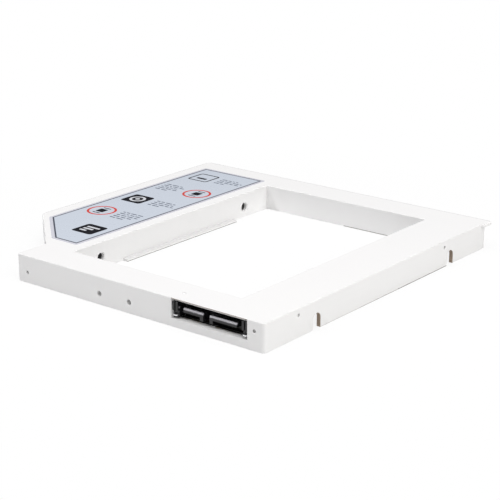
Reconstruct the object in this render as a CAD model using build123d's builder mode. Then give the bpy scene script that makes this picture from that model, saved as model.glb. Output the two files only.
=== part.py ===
from build123d import *
import os

os.makedirs("parts", exist_ok=True)

# Laptop drive caddy: a moulded frame that holds a 2.5 inch drive in a slim optical-drive bay.
# Lengths are millimetres. The origin is the middle of the underside, +Y runs from the
# connector face to the bezel end and +Z is up, as the caddy lies in the bay.

# Frame: the bars beside the drive window, the strip at the bezel end and the wing
left_bar = 13.2
right_bar = 18.5
end_strip = 9.4
wing_width = 26.2
wing_underside = 3.2
wing_cut = 23.6
wing_corner_radius = 4.0
corner_radius = 1.2
edge_radius = 0.3

# Lip of the top skin at the bezel end, with an ear past the right face
lip_depth = 3.5
lip_thickness = 1.0
lip_root = 2.4
lip_radius = 1.1
ear = 1.2

# Moulded sections
skin = 1.2
wall = 1.4
rib = 1.0
rib_foot = 2.6
wing_rib_foot = 4.4
bar_rib_count = 6
wing_rib_count = 8
end_rib_count = 7
driver_path = 6.4

# Drive bay: the 2.5 inch drive, its side screws and the ledges it lies on
drive_width = 69.85
drive_depth = 100.45
drive_side_gap = 0.25
drive_end_gap = 0.2
drive_tuck = 1.4
slide_play = 0.3
first_side_screw = 14.0
last_side_screw = 9.85
side_screw_height = 3.0
side_screw_hole = 3.2
side_screw_rim = 0.3
ledge_thickness = 0.8
ledge_width = 2.0
ledge_start = 23.0
ledge_length = 59.0

# Screw and pilot holes in the outer faces and the blocks behind them
rear_screw_hole = 1.8
rear_screw_spacing = 12.5
rear_screw_offset = 17.2
rear_screw_height = 3.65
pilot_hole = 1.2
left_pilot_place = (4.7, 3.6)
right_pilot_inset = 3.7
right_pilot_drop = 3.1
side_pilot_start = 16.4
side_pilot_spacing = 82.0
side_pilot_drop = 2.2
screw_block_width = 4.0
screw_block_depth = 3.4
screw_block_foot = 1.0
pilot_block_height = 2.4
block_gap = 0.5
notch_width = 3.9
notch_height = 5.1
dimple_radius = 0.8
dimple_depth = 0.25
dimple_inset = 34.4
dimple_start = 5.0

# Opening for the slimline plug in the connector face
opening_foot = 2.6
opening_drop = 0.4
opening_radius = 0.3
sill_depth = 2.9

# Bezel clip slots in the end wall
clip_slot_width = 7.0
clip_slot_height = 2.4
clip_slot_foot = 4.0
clip_slot_spacing = 38.0

# Label on the wing and the left bar
label_thickness = 0.1
label_margin_left = 5.2
label_margin_right = 4.2
label_start = 18.2
label_end_margin = 4.8
label_cut = 16.6

# Adapter board and its screws
board_thickness = 1.0
board_top = 2.4
board_gap = 0.3
boss_radius = 1.7
boss_gap = 0.3
screw_radius = 1.0
screw_length = 4.6
screw_hole_radius = 1.1
head_radius = 1.6
head_height = 0.9
head_edge = 0.3
recess_width = 0.5
recess_length = 1.8
recess_depth = 0.4

# Contacts of both connectors
pitch = 1.27
signal_count = 7
contact_width = 0.5
contact_thickness = 0.2
contact_tip = 0.3
contact_tail = 0.7
tail_gap = 0.4
ground_lead = 0.5

# Slimline plug that mates with the laptop
plug_gap = 0.2
plug_base_depth = 1.9
plug_top = 8.0
plug_front = 1.0
plug_floor = 0.6
plug_floor_depth = 1.2
arm_width = 2.1
arm_front = 0.4
arm_step = 0.8
arm_step_top = 5.2
arm_groove_width = 0.5
arm_groove_depth = 0.5
tongue_top = 6.45
tongue_thickness = 1.35
tongue_chamfer = 0.45
tongue_side = 0.45
tongue_spacing = 2.5
tongue_end_space = 2.05
tongue_shift = -0.3
key_depth = 1.2
key_width = 1.2
slim_power_pitch = 1.0
slim_power_count = 6
tab_width = 1.7
tab_thickness = 0.4
tab_gap = 1.0
tab_front = 0.2

# Receptacle that takes the drive's own connector
receptacle_shift = 9.6
receptacle_depth = 6.8
receptacle_nose = 3.4
receptacle_height = 4.6
receptacle_end = 3.1
receptacle_gap = 0.3
nose_chamfer = 0.4
slot_height = 1.5
slot_floor = 2.4
slot_depth = 5.0
slot_side = 0.6
slot_spacing = 3.4
slot_key_depth = 1.1
slot_key_width = 1.3
drive_power_count = 15

# Hold-down brackets at the receptacle's ends
bracket_depth = 1.6
bracket_foot = 1.0

# Small parts soldered to the board's underside
small_chip_length = 1.6
small_chip_width = 0.8
small_chip_height = 0.7
large_chip_length = 3.2
large_chip_width = 1.6
large_chip_height = 0.9
chip_end = 0.35
chip_end_rise = 0.05
chip_margin = 0.5
small_chip_pitch = 2.6
large_chip_pitch = 6.0
coupling_count = 4


def row_width(spacing, count):
    """Width of a row of contacts from outer side to outer side."""
    return spacing * (count - 1) + contact_width


def row_places(middle, spacing, count):
    """Places of things in a row, spaced evenly about its middle."""
    return [middle + spacing * (i - (count - 1) / 2) for i in range(count)]


# Depths behind the connector face: sill, plug, tails of both connectors, receptacle
board_front = sill_depth + board_gap
plug_base_front = board_front + plug_floor_depth
plug_back = plug_base_front + plug_base_depth
receptacle_back = plug_back + 2 * contact_tail + tail_gap
receptacle_front = receptacle_back + receptacle_depth
drive_seat = receptacle_front - receptacle_nose
near_strip = drive_seat + drive_tuck
strip_wall_back = drive_seat - drive_end_gap

# The window, as long as the drive laid in clear of the receptacle, and the outside
bay_width = drive_width + drive_side_gap
bay_depth = receptacle_front + slide_play + drive_depth - near_strip
face_width = left_bar + bay_width + right_bar
body_depth = near_strip + bay_depth + end_strip
height = plug_top + skin
overall_width = wing_width + face_width + ear
overall_depth = body_depth + lip_depth
wing_left = -overall_width / 2
face_left = wing_left + wing_width
face_right = face_left + face_width
front = -overall_depth / 2
body_end = front + body_depth
bay_left = face_left + left_bar
bay_right = bay_left + bay_width
bay_front = front + near_strip
bay_end = bay_front + bay_depth
skin_foot = height - skin

# Side screws of the drive and the ribs between them, from the connector face
side_screw_spacing = drive_depth - first_side_screw - last_side_screw
side_screw_z = ledge_thickness + side_screw_height
side_screw_front = drive_seat + first_side_screw
side_screw_places = (side_screw_front, side_screw_front + side_screw_spacing)
side_screw_middle = sum(side_screw_places) / 2
rib_pitch = side_screw_spacing / bar_rib_count

# Slimline plug, from the left end of the connector face
signal_tongue_width = row_width(pitch, signal_count) + key_width + 2 * tongue_side
power_tongue_width = row_width(slim_power_pitch, slim_power_count) + key_width + 2 * tongue_side
tongues_width = power_tongue_width + tongue_spacing + signal_tongue_width
plug_width = tongues_width + 2 * (tongue_end_space + arm_width)
opening_width = plug_width + 2 * plug_gap
opening_right = face_width - right_pilot_inset - screw_block_width / 2 - block_gap
opening_left = opening_right - opening_width
opening_top = height - opening_drop
plug_left = opening_left + plug_gap
plug_right = plug_left + plug_width
power_tongue_left = plug_left + (plug_width - tongues_width) / 2 + tongue_shift
power_tongue_right = power_tongue_left + power_tongue_width
signal_tongue_left = power_tongue_right + tongue_spacing
tongue_foot = tongue_top - tongue_thickness
tab_foot = opening_foot + tab_gap
arm_foot = tab_foot - tab_thickness
power_middle = power_tongue_left + (power_tongue_width - key_width) / 2
signal_middle = signal_tongue_left + (signal_tongue_width + key_width) / 2

# Receptacle, from the left end of the connector face
signal_slot_width = row_width(pitch, signal_count) + slot_key_width + 2 * slot_side
power_slot_width = row_width(pitch, drive_power_count) + slot_key_width + 2 * slot_side
slots_width = signal_slot_width + slot_spacing + power_slot_width
receptacle_width = slots_width + 2 * receptacle_end
receptacle_centre = left_bar + bay_width / 2 + receptacle_shift
receptacle_left = receptacle_centre - receptacle_width / 2
receptacle_right = receptacle_left + receptacle_width
signal_slot_left = receptacle_centre - slots_width / 2
power_slot_left = signal_slot_left + signal_slot_width + slot_spacing
power_slot_right = power_slot_left + power_slot_width
slot_foot = board_top + slot_floor - slot_height / 2
drive_signal_middle = signal_slot_left + (signal_slot_width + slot_key_width) / 2
drive_power_middle = power_slot_left + (power_slot_width - slot_key_width) / 2

# Holes in the outer faces, as (distance along the face, height)
rear_screw_x = row_places(opening_left - rear_screw_offset - rear_screw_spacing / 2, rear_screw_spacing, 2)
rear_screw_places = [(x, rear_screw_height) for x in rear_screw_x]
right_pilot_place = (face_width - right_pilot_inset, height - right_pilot_drop)
side_pilot_places = [(side_pilot_start + side_pilot_spacing * i, height - side_pilot_drop) for i in range(2)]

# Adapter board and its three screws, from the left end of the connector face
left_screw_x = receptacle_left - bracket_foot - boss_gap - boss_radius
board_left = left_screw_x - boss_radius - boss_gap
board_right = face_width - wall - board_gap
board_back = strip_wall_back - wall - board_gap
board_tab_back = drive_seat - board_gap
board_foot = board_top - board_thickness
board_step = rear_screw_x[1] + screw_block_width / 2 + block_gap
board_shoulder = wall + screw_block_depth + block_gap
board_screw_places = (
    (left_screw_x, (board_shoulder + board_back) / 2),
    ((board_step + opening_left) / 2, receptacle_back - contact_tail - boss_gap - boss_radius),
    (board_right - boss_radius, board_back - boss_radius),
)
least_corner = (Align.MIN, Align.MIN)

# Planes of the outer faces: x runs along the face, y is up and z points out
front_plane = Plane(origin=(face_left, front, 0), x_dir=(1, 0, 0), z_dir=(0, -1, 0))
right_plane = Plane(origin=(face_right, front, 0), x_dir=(0, 1, 0), z_dir=(1, 0, 0))
bay_left_plane = Plane(origin=(bay_left, front, 0), x_dir=(0, 1, 0), z_dir=(1, 0, 0))
bay_right_plane = Plane(origin=(bay_right, front, 0), x_dir=(0, -1, 0), z_dir=(-1, 0, 0))
end_plane = Plane(origin=(face_left, body_end, 0), x_dir=(1, 0, 0), z_dir=(0, -1, 0))
strip_plane = Plane(origin=(face_left, front, 0))


# Frame: one moulding, open underneath, with ribs, screw blocks and board bosses inside
with BuildPart() as frame:
    with BuildSketch() as body_outline:
        with Locations((face_left, front)):
            Rectangle(face_width, body_depth, align=least_corner)
        fillet(body_outline.vertices().group_by(Axis.Y)[0], corner_radius)
    extrude(amount=height)

    with BuildSketch(Plane.XY.offset(wing_underside)) as wing_outline:
        with BuildLine():
            Polyline(
                (face_left + wall, bay_front),
                (face_left, bay_front),
                (wing_left, bay_front + wing_cut),
                (wing_left, body_end),
                (face_left + wall, body_end),
                close=True,
            )
        make_face()
        fillet(wing_outline.vertices().group_by(Axis.X)[0].sort_by(Axis.Y)[0], wing_corner_radius)
    extrude(amount=height - wing_underside)

    with BuildSketch(Plane.XY.offset(height - lip_thickness)) as lip_outline:
        with Locations((0, body_end)):
            Rectangle(overall_width, lip_root, align=(Align.CENTER, Align.MAX))
            Rectangle(overall_width, lip_depth, align=(Align.CENTER, Align.MIN))
        fillet(lip_outline.vertices().group_by(Axis.X)[-1], lip_radius)
        fillet(lip_outline.vertices().group_by(Axis.X)[0].sort_by(Axis.Y)[-1], lip_radius)
    extrude(amount=lip_thickness)

    with BuildSketch():
        with Locations((bay_left, bay_front)):
            Rectangle(bay_width, bay_depth, align=least_corner)
    extrude(amount=height, mode=Mode.SUBTRACT)
    fillet(frame.faces().sort_by(Axis.Z)[-1].edges(), edge_radius)

    # channels under the skin, in the body and in the wing
    with BuildSketch():
        with Locations((face_left + wall, front + wall)):
            Rectangle(face_width - 2 * wall, body_depth - 2 * wall, align=least_corner)
        with Locations((bay_left - wall, bay_end + wall)):
            Rectangle(
                bay_width + 2 * wall,
                bay_end - front - strip_wall_back + 2 * wall,
                align=(Align.MIN, Align.MAX),
                mode=Mode.SUBTRACT,
            )
    extrude(amount=skin_foot, mode=Mode.SUBTRACT)
    with BuildSketch():
        with Locations((bay_left, bay_front)):
            Rectangle(bay_width, near_strip - strip_wall_back, align=(Align.MIN, Align.MAX))
    extrude(amount=skin_foot, mode=Mode.SUBTRACT)
    with BuildSketch(Plane.XY.offset(wing_underside)):
        add(wing_outline.sketch_local)
        offset(amount=-wall, kind=Kind.INTERSECTION, mode=Mode.REPLACE)
    extrude(amount=skin_foot - wing_underside, mode=Mode.SUBTRACT)

    # ribs of the two side bars, with a driver's path left open at each side screw
    with BuildSketch(Plane.XY.offset(skin_foot)):
        with Locations((face_left + left_bar / 2, front + side_screw_middle)):
            with GridLocations(0, rib_pitch, 1, bar_rib_count):
                Rectangle(left_bar - 2 * wall, rib)
        with Locations((face_right - right_bar / 2, front + side_screw_middle)):
            with GridLocations(0, rib_pitch, 1, bar_rib_count):
                Rectangle(right_bar - 2 * wall, rib)
        with Locations((face_right - right_bar / 2, bay_front)):
            Rectangle(rib, bay_depth, align=(Align.CENTER, Align.MIN))
        with Locations((face_right - right_bar / 2, front + side_screw_middle)):
            with GridLocations(0, side_screw_spacing, 1, 2):
                Rectangle(rib, driver_path, mode=Mode.SUBTRACT)
    extrude(amount=rib_foot - skin_foot)

    # ribs of the end strip and of the near strip left of the board
    with BuildSketch(Plane.XY.offset(skin_foot)):
        with Locations((bay_left + bay_width / 2, bay_end + wall)):
            with GridLocations(bay_width / (end_rib_count - 1), 0, end_rib_count, 1):
                Rectangle(rib, body_end - bay_end - 2 * wall, align=(Align.CENTER, Align.MIN))
        with Locations(*[(face_left + x, front + wall) for x in (left_bar, (left_bar + board_left) / 2)]):
            Rectangle(rib, strip_wall_back - 2 * wall, align=(Align.CENTER, Align.MIN))
    extrude(amount=rib_foot - skin_foot)

    # lattice of the wing
    with BuildSketch(Plane.XY.offset(skin_foot)):
        with Locations((face_left - wing_width / 2, front + side_screw_middle)):
            with GridLocations(0, rib_pitch, 1, wing_rib_count):
                Rectangle(wing_width, rib)
            Rectangle(rib, 2 * body_depth)
        add(wing_outline.sketch_local, mode=Mode.INTERSECT)
    extrude(amount=wing_rib_foot - skin_foot)

    # blocks behind the screw and pilot holes of the outer faces
    with BuildSketch(front_plane.offset(-wall)):
        with Locations(*[(x, skin_foot) for x in rear_screw_x + [left_pilot_place[0]]]):
            Rectangle(screw_block_width, skin_foot - screw_block_foot, align=(Align.CENTER, Align.MAX))
        with Locations((right_pilot_place[0], skin_foot)):
            right_block_height = skin_foot - right_pilot_place[1] + pilot_block_height / 2
            Rectangle(screw_block_width, right_block_height, align=(Align.CENTER, Align.MAX))
    extrude(amount=-screw_block_depth)
    with BuildSketch(right_plane.offset(-wall)):
        with Locations(*[(y, skin_foot) for y, _ in side_pilot_places]):
            Rectangle(screw_block_width, pilot_block_height, align=(Align.CENTER, Align.MAX))
    extrude(amount=-screw_block_depth)

    # sill under the plug opening, ledges under the drive and bosses over the board
    with BuildSketch(front_plane.offset(-wall)):
        with Locations((opening_left - wall, 0)):
            Rectangle(opening_width + 2 * wall, opening_foot, align=least_corner)
    extrude(amount=-(sill_depth - wall))
    with BuildSketch():
        with Locations((bay_left, bay_front + ledge_start)):
            Rectangle(ledge_width, ledge_length, align=least_corner)
        with Locations((bay_right, bay_front + ledge_start)):
            Rectangle(ledge_width, ledge_length, align=(Align.MAX, Align.MIN))
    extrude(amount=ledge_thickness)
    with BuildSketch(strip_plane.offset(board_top)):
        with Locations(*board_screw_places):
            Circle(boss_radius)
    extrude(amount=skin_foot - board_top)

    # plug opening, receptacle gate, screw notches, clip slots and all holes
    with BuildSketch(front_plane) as opening:
        with Locations((opening_left, opening_foot)):
            Rectangle(opening_width, opening_top - opening_foot, align=least_corner)
        fillet(opening.vertices(), opening_radius)
    extrude(amount=-wall, mode=Mode.SUBTRACT)
    with BuildSketch(front_plane.offset(-strip_wall_back)):
        with Locations((receptacle_centre, 0)):
            Rectangle(
                receptacle_width + 2 * receptacle_gap,
                board_top + receptacle_height + receptacle_gap,
                align=(Align.CENTER, Align.MIN),
            )
    extrude(amount=wall, mode=Mode.SUBTRACT)
    with BuildSketch(right_plane) as notches:
        with Locations(*[(y, notch_height - notch_width / 2) for y in side_screw_places]):
            Circle(notch_width / 2)
            Rectangle(notch_width, notch_height - notch_width / 2, align=(Align.CENTER, Align.MAX))
    extrude(amount=-wall, mode=Mode.SUBTRACT)
    with BuildSketch(right_plane.offset(wall - face_width)):
        add(notches.sketch_local)
    extrude(amount=-(wall + wing_width), mode=Mode.SUBTRACT)
    with Locations(*[bay_left_plane * Location((y, side_screw_z, 0)) for y in side_screw_places]):
        CounterSinkHole(side_screw_hole / 2, side_screw_hole / 2 + side_screw_rim, depth=wall)
    with Locations(*[bay_right_plane * Location((-y, side_screw_z, 0)) for y in side_screw_places]):
        CounterSinkHole(side_screw_hole / 2, side_screw_hole / 2 + side_screw_rim, depth=wall)
    with BuildSketch(end_plane):
        with Locations((left_bar + bay_width / 2, clip_slot_foot)):
            with GridLocations(clip_slot_spacing, 0, 3, 1):
                Rectangle(clip_slot_width, clip_slot_height, align=(Align.CENTER, Align.MIN))
    extrude(amount=wall, mode=Mode.SUBTRACT)
    with BuildSketch(front_plane):
        with Locations(*rear_screw_places):
            Circle(rear_screw_hole / 2)
        with Locations(left_pilot_place, right_pilot_place):
            Circle(pilot_hole / 2)
    extrude(amount=-(wall + screw_block_depth - rib), mode=Mode.SUBTRACT)
    with BuildSketch(right_plane):
        with Locations(*side_pilot_places):
            Circle(pilot_hole / 2)
    extrude(amount=-(wall + screw_block_depth - rib), mode=Mode.SUBTRACT)
    with BuildSketch(strip_plane.offset(board_top)):
        with Locations(*board_screw_places):
            Circle(screw_radius)
    extrude(amount=screw_length - board_thickness, mode=Mode.SUBTRACT)
    with BuildSketch(strip_plane.offset(height)):
        with Locations((face_width - dimple_inset, dimple_start)):
            Circle(dimple_radius)
    extrude(amount=-dimple_depth, mode=Mode.SUBTRACT)
frame.part.label = "frame"
export_step(frame.part, "parts/frame.step")


# Label: a thin printed film, its near corner cut along the wing's slant
label_left = wing_left + label_margin_left
label_right = bay_left - label_margin_right
label_front = front + label_start
label_end = body_end - label_end_margin
with BuildPart() as label:
    with BuildSketch(Plane.XY.offset(height)):
        with BuildLine():
            Polyline(
                (label_right, label_front),
                (label_right, label_end),
                (label_left, label_end),
                (label_left, label_front + label_cut),
                (label_left + label_cut * wing_width / wing_cut, label_front),
                close=True,
            )
        make_face()
    extrude(amount=label_thickness)
label.part.label = "label"
export_step(label.part, "parts/label.step")


# Adapter board: steps back on the left for the screw blocks and has a tab under the receptacle
with BuildPart() as adapter_board:
    with BuildSketch(strip_plane.offset(board_foot)):
        with BuildLine():
            Polyline(
                (board_left, board_shoulder),
                (board_step, board_shoulder),
                (board_step, board_front),
                (board_right, board_front),
                (board_right, board_back),
                (receptacle_right, board_back),
                (receptacle_right, board_tab_back),
                (receptacle_left, board_tab_back),
                (receptacle_left, board_back),
                (board_left, board_back),
                close=True,
            )
        make_face()
        with Locations(*board_screw_places):
            Circle(screw_hole_radius, mode=Mode.SUBTRACT)
    extrude(amount=board_thickness)
adapter_board.part.label = "adapter_board"
export_step(adapter_board.part, "parts/adapter_board.step")


# Board screws: pan heads under the board, cross recess, shanks in the bosses
with BuildPart() as board_screws:
    with BuildSketch(strip_plane.offset(board_foot - head_height)):
        with Locations(*board_screw_places):
            Circle(head_radius)
    extrude(amount=head_height)
    chamfer(board_screws.edges().group_by(Axis.Z)[0], head_edge)
    with BuildSketch(strip_plane.offset(board_foot)):
        with Locations(*board_screw_places):
            Circle(screw_radius)
    extrude(amount=screw_length)
    with BuildSketch(strip_plane.offset(board_foot - head_height)):
        with Locations(*board_screw_places):
            Rectangle(recess_length, recess_width)
            Rectangle(recess_width, recess_length)
    extrude(amount=recess_depth, mode=Mode.SUBTRACT)
board_screws.part.label = "board_screws"
export_step(board_screws.part, "parts/board_screws.step")


# Hold-down tabs: a bright leaf through each arm of the plug, on a foot that stands on the board
arm_places = (plug_left + arm_width / 2, plug_right - arm_width / 2)
with BuildPart() as plug_hold_downs:
    with BuildSketch(strip_plane.offset(tab_foot)) as tabs:
        with Locations(*[(x, plug_base_front) for x in arm_places]):
            Rectangle(tab_width, plug_base_front - tab_front, align=(Align.CENTER, Align.MAX))
        fillet(tabs.vertices().group_by(Axis.Y)[0], tab_width / 3)
    extrude(amount=tab_thickness)
    with BuildSketch(strip_plane.offset(board_top)):
        with Locations(*[(x, plug_base_front) for x in arm_places]):
            Rectangle(tab_width, tab_thickness, align=(Align.CENTER, Align.MAX))
    extrude(amount=tab_foot - board_top)
plug_hold_downs.part.label = "plug_hold_downs"
export_step(plug_hold_downs.part, "parts/plug_hold_downs.step")


# Slimline plug: a base with two keyed tongues, a floor and a stepped, grooved arm at each end
slim_power_x = row_places(power_middle, slim_power_pitch, slim_power_count)
slim_signal_x = row_places(signal_middle, pitch, signal_count)

with BuildPart() as plug_housing:
    with BuildSketch(front_plane.offset(-plug_base_front)):
        with Locations((plug_left, board_top)):
            Rectangle(plug_width, plug_top - board_top, align=least_corner)
    extrude(amount=-plug_base_depth)
    with BuildSketch(front_plane.offset(-plug_base_front)):
        with Locations((power_tongue_left, tongue_foot)):
            Rectangle(power_tongue_width, tongue_thickness, align=least_corner)
        with Locations((power_tongue_right, tongue_foot)):
            Rectangle(key_width, key_depth, align=(Align.MAX, Align.MAX))
        with Locations((signal_tongue_left, tongue_foot)):
            Rectangle(signal_tongue_width, tongue_thickness, align=least_corner)
            Rectangle(key_width, key_depth, align=(Align.MIN, Align.MAX))
    extrude(amount=plug_base_front - plug_front)
    tongue_tips = plug_housing.faces().group_by(Axis.Y)[0]
    chamfer([tip.edges().sort_by(Axis.Z)[-1] for tip in tongue_tips], tongue_chamfer)
    with BuildSketch(front_plane.offset(-plug_base_front)):
        with Locations(*[(x, arm_foot) for x in arm_places]):
            Rectangle(arm_width, plug_top - arm_foot, align=(Align.CENTER, Align.MIN))
    extrude(amount=plug_base_front - arm_front - arm_step)
    with BuildSketch(front_plane.offset(-plug_base_front)):
        with Locations(*[(x, plug_top) for x in arm_places]):
            Rectangle(arm_width, plug_top - arm_step_top, align=(Align.CENTER, Align.MAX))
    extrude(amount=plug_base_front - arm_front)
    with BuildSketch(front_plane.offset(-arm_front)):
        with Locations(*[(x, plug_top) for x in arm_places]):
            Rectangle(arm_groove_width, plug_top - arm_step_top, align=(Align.CENTER, Align.MAX))
    extrude(amount=-arm_groove_depth, mode=Mode.SUBTRACT)
    add(plug_hold_downs.part, mode=Mode.SUBTRACT)
    with BuildSketch(front_plane.offset(-plug_base_front)):
        with Locations((plug_left + arm_width, board_top)):
            Rectangle(plug_width - 2 * arm_width, plug_floor, align=least_corner)
    extrude(amount=plug_base_front - board_front)
    with BuildSketch(front_plane.offset(-plug_back)):
        with Locations(*[(x, tongue_foot) for x in slim_power_x + slim_signal_x]):
            Rectangle(contact_width, contact_thickness, align=(Align.CENTER, Align.MIN))
    extrude(amount=plug_back - plug_front - contact_tip, mode=Mode.SUBTRACT)
plug_housing.part.label = "plug_housing"
export_step(plug_housing.part, "parts/plug_housing.step")


def plug_contacts(places, lag):
    """Contacts set in the tongue's underside, which turn down behind the base to a solder tail."""
    tip = plug_front + contact_tip + lag
    with BuildPart() as row:
        for place in places:
            with BuildSketch(Plane.YZ.offset(face_left + place)):
                with Locations((front + tip, tongue_foot)):
                    Rectangle(plug_back + contact_thickness - tip, contact_thickness, align=least_corner)
                with Locations((front + plug_back, board_top)):
                    Rectangle(contact_thickness, tongue_foot - board_top, align=least_corner)
                    Rectangle(contact_tail, contact_thickness, align=least_corner)
            extrude(amount=contact_width / 2, both=True)
    return row


grounds = range(0, signal_count, 3)
data_pins = [i for i in range(signal_count) if i not in grounds]

plug_ground_contacts = plug_contacts([slim_signal_x[i] for i in grounds], 0)
plug_ground_contacts.part.label = "plug_ground_contacts"
export_step(plug_ground_contacts.part, "parts/plug_ground_contacts.step")

plug_data_contacts = plug_contacts([slim_signal_x[i] for i in data_pins], ground_lead)
plug_data_contacts.part.label = "plug_data_contacts"
export_step(plug_data_contacts.part, "parts/plug_data_contacts.step")

plug_power_contacts = plug_contacts(slim_power_x[1:], 0)
plug_power_contacts.part.label = "plug_power_contacts"
export_step(plug_power_contacts.part, "parts/plug_power_contacts.step")

plug_detect_contact = plug_contacts(slim_power_x[:1], 2 * ground_lead)
plug_detect_contact.part.label = "plug_detect_contact"
export_step(plug_detect_contact.part, "parts/plug_detect_contact.step")


# Receptacle: one housing with a keyed signal slot and a keyed power slot facing the bay
drive_signal_x = row_places(drive_signal_middle, pitch, signal_count)
drive_power_x = row_places(drive_power_middle, pitch, drive_power_count)

with BuildPart() as receptacle_housing:
    with BuildSketch(front_plane.offset(-receptacle_back)):
        with Locations((receptacle_left, board_top)):
            Rectangle(receptacle_width, receptacle_height, align=least_corner)
    extrude(amount=-(receptacle_front - receptacle_back))
    chamfer(receptacle_housing.faces().sort_by(Axis.Y)[-1].edges(), nose_chamfer)
    with BuildSketch(front_plane.offset(-receptacle_front)):
        with Locations((signal_slot_left, slot_foot)):
            Rectangle(signal_slot_width, slot_height, align=least_corner)
            Rectangle(slot_key_width, slot_key_depth, align=(Align.MIN, Align.MAX))
        with Locations((power_slot_left, slot_foot)):
            Rectangle(power_slot_width, slot_height, align=least_corner)
        with Locations((power_slot_right, slot_foot)):
            Rectangle(slot_key_width, slot_key_depth, align=(Align.MAX, Align.MAX))
    extrude(amount=slot_depth, mode=Mode.SUBTRACT)
    with BuildSketch(front_plane.offset(-receptacle_back)):
        with Locations(*[(x, slot_foot) for x in drive_signal_x + drive_power_x]):
            Rectangle(contact_width, contact_thickness, align=(Align.CENTER, Align.MIN))
    extrude(amount=-(receptacle_front - slot_depth - receptacle_back), mode=Mode.SUBTRACT)
receptacle_housing.part.label = "receptacle_housing"
export_step(receptacle_housing.part, "parts/receptacle_housing.step")


def receptacle_contacts(places, lead):
    """Contacts on the floor of the receptacle's slots: along the slot, down its back and out to a tail."""
    tip = receptacle_front - contact_tip - ground_lead + lead
    with BuildPart() as row:
        for place in places:
            with BuildSketch(Plane.YZ.offset(face_left + place)):
                with Locations((front + tip, slot_foot)):
                    Rectangle(
                        tip - receptacle_back + contact_thickness,
                        contact_thickness,
                        align=(Align.MAX, Align.MIN),
                    )
                with Locations((front + receptacle_back, board_top)):
                    Rectangle(contact_thickness, slot_foot - board_top, align=(Align.MAX, Align.MIN))
                    Rectangle(contact_tail, contact_thickness, align=(Align.MAX, Align.MIN))
            extrude(amount=contact_width / 2, both=True)
    return row


receptacle_ground_contacts = receptacle_contacts([drive_signal_x[i] for i in grounds], ground_lead)
receptacle_ground_contacts.part.label = "receptacle_ground_contacts"
export_step(receptacle_ground_contacts.part, "parts/receptacle_ground_contacts.step")

receptacle_data_contacts = receptacle_contacts([drive_signal_x[i] for i in data_pins], 0)
receptacle_data_contacts.part.label = "receptacle_data_contacts"
export_step(receptacle_data_contacts.part, "parts/receptacle_data_contacts.step")

receptacle_power_contacts = receptacle_contacts(drive_power_x, 0)
receptacle_power_contacts.part.label = "receptacle_power_contacts"
export_step(receptacle_power_contacts.part, "parts/receptacle_power_contacts.step")


# Hold-down brackets: an upright against each end of the receptacle and a foot on the board
bracket_height = receptacle_height - 2 * tab_thickness
with BuildPart() as receptacle_hold_downs:
    with BuildSketch(front_plane.offset(bracket_depth - board_back)):
        with Locations((receptacle_left, board_top)):
            Rectangle(tab_thickness, bracket_height, align=(Align.MAX, Align.MIN))
            Rectangle(bracket_foot, tab_thickness, align=(Align.MAX, Align.MIN))
        with Locations((receptacle_right, board_top)):
            Rectangle(tab_thickness, bracket_height, align=least_corner)
            Rectangle(bracket_foot, tab_thickness, align=least_corner)
    extrude(amount=-bracket_depth)
receptacle_hold_downs.part.label = "receptacle_hold_downs"
export_step(receptacle_hold_downs.part, "parts/receptacle_hold_downs.step")


def chips(places, length, width, thickness):
    """Chip parts under the board, each a body with a slightly thicker metal end at both sides."""
    row_place = board_back - chip_margin - width / 2
    ends = [x + side * (length - chip_end) / 2 for x in places for side in (-1, 1)]
    with BuildPart() as row:
        with BuildSketch(strip_plane.offset(board_foot)):
            with Locations(*[(x, row_place) for x in places]):
                Rectangle(length, width)
        extrude(amount=-thickness)
        with BuildSketch(strip_plane.offset(board_foot)):
            with Locations(*[(x, row_place) for x in ends]):
                Rectangle(chip_end, width + 2 * chip_end_rise)
        extrude(amount=-(thickness + chip_end_rise))
    return row


small_chip = (small_chip_length, small_chip_width, small_chip_height)
large_chip = (large_chip_length, large_chip_width, large_chip_height)

coupling_capacitors = chips(row_places(signal_middle, small_chip_pitch, coupling_count), *small_chip)
coupling_capacitors.part.label = "coupling_capacitors"
export_step(coupling_capacitors.part, "parts/coupling_capacitors.step")

decoupling_capacitors = chips(row_places(drive_signal_middle, large_chip_pitch, 2), *large_chip)
decoupling_capacitors.part.label = "decoupling_capacitors"
export_step(decoupling_capacitors.part, "parts/decoupling_capacitors.step")

chip_resistors = chips(row_places(power_middle, small_chip_pitch, 2), *small_chip)
chip_resistors.part.label = "chip_resistors"
export_step(chip_resistors.part, "parts/chip_resistors.step")
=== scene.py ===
"""Looks of a laptop drive caddy: a white moulded frame, its printed label and its connectors."""

import logging
import math
from dataclasses import dataclass, field
from enum import Enum
from typing import Callable, Iterable, Sequence

import bpy
import numpy as np
from mathutils import Matrix, Vector


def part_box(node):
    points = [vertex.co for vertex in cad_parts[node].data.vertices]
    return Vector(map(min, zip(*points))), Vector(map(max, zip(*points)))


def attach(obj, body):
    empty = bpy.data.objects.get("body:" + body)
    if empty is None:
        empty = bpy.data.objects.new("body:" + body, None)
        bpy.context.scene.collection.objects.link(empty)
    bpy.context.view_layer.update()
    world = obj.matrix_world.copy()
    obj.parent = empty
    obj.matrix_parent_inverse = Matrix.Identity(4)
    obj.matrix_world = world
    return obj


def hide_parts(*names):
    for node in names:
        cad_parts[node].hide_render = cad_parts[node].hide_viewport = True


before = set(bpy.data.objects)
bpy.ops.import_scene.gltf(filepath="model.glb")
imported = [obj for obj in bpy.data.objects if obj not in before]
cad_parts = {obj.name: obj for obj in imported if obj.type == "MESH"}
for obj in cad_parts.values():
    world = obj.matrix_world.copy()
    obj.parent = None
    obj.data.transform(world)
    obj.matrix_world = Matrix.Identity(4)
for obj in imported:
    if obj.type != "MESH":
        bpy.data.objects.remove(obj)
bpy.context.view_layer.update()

log = logging.getLogger("caddy")

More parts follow.
